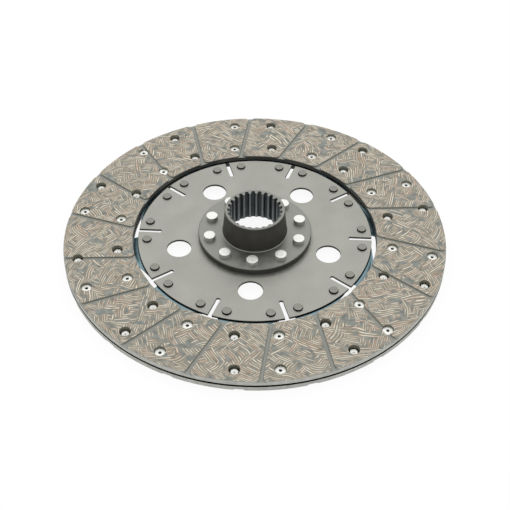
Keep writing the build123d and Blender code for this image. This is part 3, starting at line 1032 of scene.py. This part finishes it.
class DISC_OT_studio(bpy.types.Operator):
    """Pale floor, soft light from above and behind, and the camera"""

    bl_idname = "disc.studio"
    bl_label = "Studio"

    def execute(self, context):
        sizes = context.scene.disc_studio
        self.floor(sizes)
        self.room(context, sizes)
        self.softbox(sizes)
        self.camera(context, sizes)
        context.scene.view_settings.view_transform = "Standard"
        return {"FINISHED"}

    def floor(self, sizes):
        """A white floor. Diffuse light sees a plain surface; the camera sees it near white."""
        half = sizes.floor / 2
        mesh = bpy.data.meshes.new("studio_floor")
        corners = [(-half, -half, 0), (half, -half, 0), (half, half, 0), (-half, half, 0)]
        mesh.from_pydata(corners, [], [(0, 1, 2, 3)])
        floor = bpy.data.objects.new("studio_floor", mesh)
        bpy.context.collection.objects.link(floor)
        material = bpy.data.materials.new("studio_paper")
        material.use_nodes = True
        tree = material.node_tree
        tree.nodes.clear()
        seen = add_node(tree, "ShaderNodeLightPath").outputs
        mirrored = add_node(
            tree, "ShaderNodeMath",
            {0: seen["Is Glossy Ray"], 1: seen["Is Transmission Ray"]}, operation="MAXIMUM",
        )
        direct = add_node(
            tree, "ShaderNodeMath", {0: seen["Is Camera Ray"], 1: mirrored}, operation="MAXIMUM"
        )
        white, shade, bounce = sizes.floor_white, sizes.floor_shade, sizes.floor_bounce
        glow = add_node(tree, "ShaderNodeEmission", {"Color": (white, white, white), "Strength": 1.0})
        paper = add_node(tree, "ShaderNodeBsdfDiffuse", {"Color": (shade, shade, shade)})
        lit = add_node(tree, "ShaderNodeAddShader", {0: glow, 1: paper})
        thrown = add_node(tree, "ShaderNodeBsdfDiffuse", {"Color": (bounce, bounce, bounce)})
        both = add_node(tree, "ShaderNodeMixShader", {0: direct, 1: thrown, 2: lit})
        add_node(tree, "ShaderNodeOutputMaterial", {"Surface": both})
        mesh.materials.append(material)

    def room(self, context, sizes):
        """A dim white room round the disc, which the camera sees as full white."""
        world = bpy.data.worlds.new("studio_room")
        context.scene.world = world
        world.use_nodes = True
        tree = world.node_tree
        tree.nodes.clear()
        seen = add_node(tree, "ShaderNodeLightPath").outputs
        room = add_node(tree, "ShaderNodeBackground", {"Color": (1, 1, 1), "Strength": sizes.room})
        white = add_node(tree, "ShaderNodeBackground", {"Color": (1, 1, 1), "Strength": 1.0})
        both = add_node(tree, "ShaderNodeMixShader", {0: seen["Is Camera Ray"], 1: room, 2: white})
        add_node(tree, "ShaderNodeOutputWorld", {"Surface": both})

    def softbox(self, sizes):
        """A large softbox overhead, a little behind the disc and turned to it."""
        light = bpy.data.lights.new("softbox", "AREA")
        light.shape = "RECTANGLE"
        light.size = sizes.softbox_width
        light.size_y = sizes.softbox_depth
        light.energy = sizes.softbox_power
        lamp = bpy.data.objects.new("softbox", light)
        lamp.location = (0.0, sizes.softbox_back, sizes.softbox_height)
        aim = Vector((0, 0, 0)) - lamp.location
        lamp.rotation_euler = aim.to_track_quat("-Z", "Y").to_euler()
        bpy.context.collection.objects.link(lamp)

    def camera(self, context, sizes):
        """The camera stands in front of the disc and looks down on it."""
        lens = bpy.data.cameras.new("camera")
        lens.sensor_width = sizes.sensor
        lens.lens = sizes.lens
        lens.clip_start = sizes.near_limit
        camera = bpy.data.objects.new("camera", lens)
        camera.matrix_world = (
            Matrix.Translation((sizes.camera_side, -sizes.camera_back, sizes.camera_height))
            @ Matrix.Rotation(math.pi / 2 - sizes.camera_drop, 4, "X")
            @ Matrix.Rotation(sizes.camera_roll, 4, "Z")
        )
        bpy.context.collection.objects.link(camera)
        context.scene.camera = camera


OPERATORS = (
    DISC_OT_hub, DISC_OT_carrier_plate, DISC_OT_cushion_segments, DISC_OT_facings,
    DISC_OT_hub_rivets, DISC_OT_segment_rivets, DISC_OT_facing_rivets, DISC_OT_studio,
)


class DISC_PT_panel(bpy.types.Panel):
    """Lists the disc's pieces"""

    bl_idname = "DISC_PT_panel"
    bl_label = "Clutch Disc"
    bl_space_type = "VIEW_3D"
    bl_region_type = "UI"
    bl_category = "Clutch Disc"

    def draw(self, context):
        for operator in OPERATORS:
            self.layout.operator(operator.bl_idname)


GROUPS = {
    "disc_hub_rivets": HubRivetSizes,
    "disc_segment_rivets": SegmentRivetSizes,
    "disc_facing_rivets": FacingRivetSizes,
    "disc_colours": FinishColours,
    "disc_studio": StudioSizes,
}


def register():
    for group in GROUPS.values():
        bpy.utils.register_class(group)
    for operator in OPERATORS:
        bpy.utils.register_class(operator)
    bpy.utils.register_class(DISC_PT_panel)
    for name, group in GROUPS.items():
        setattr(bpy.types.Scene, name, PointerProperty(type=group))


def unregister():
    for name in GROUPS:
        delattr(bpy.types.Scene, name)
    bpy.utils.unregister_class(DISC_PT_panel)
    for operator in reversed(OPERATORS):
        bpy.utils.unregister_class(operator)
    for group in reversed(GROUPS.values()):
        bpy.utils.unregister_class(group)


def main():
    """Dress the disc and light it."""
    register()
    for operator in OPERATORS:
        group, name = operator.bl_idname.split(".")
        getattr(getattr(bpy.ops, group), name)()


if __name__ == "__main__":
    main()
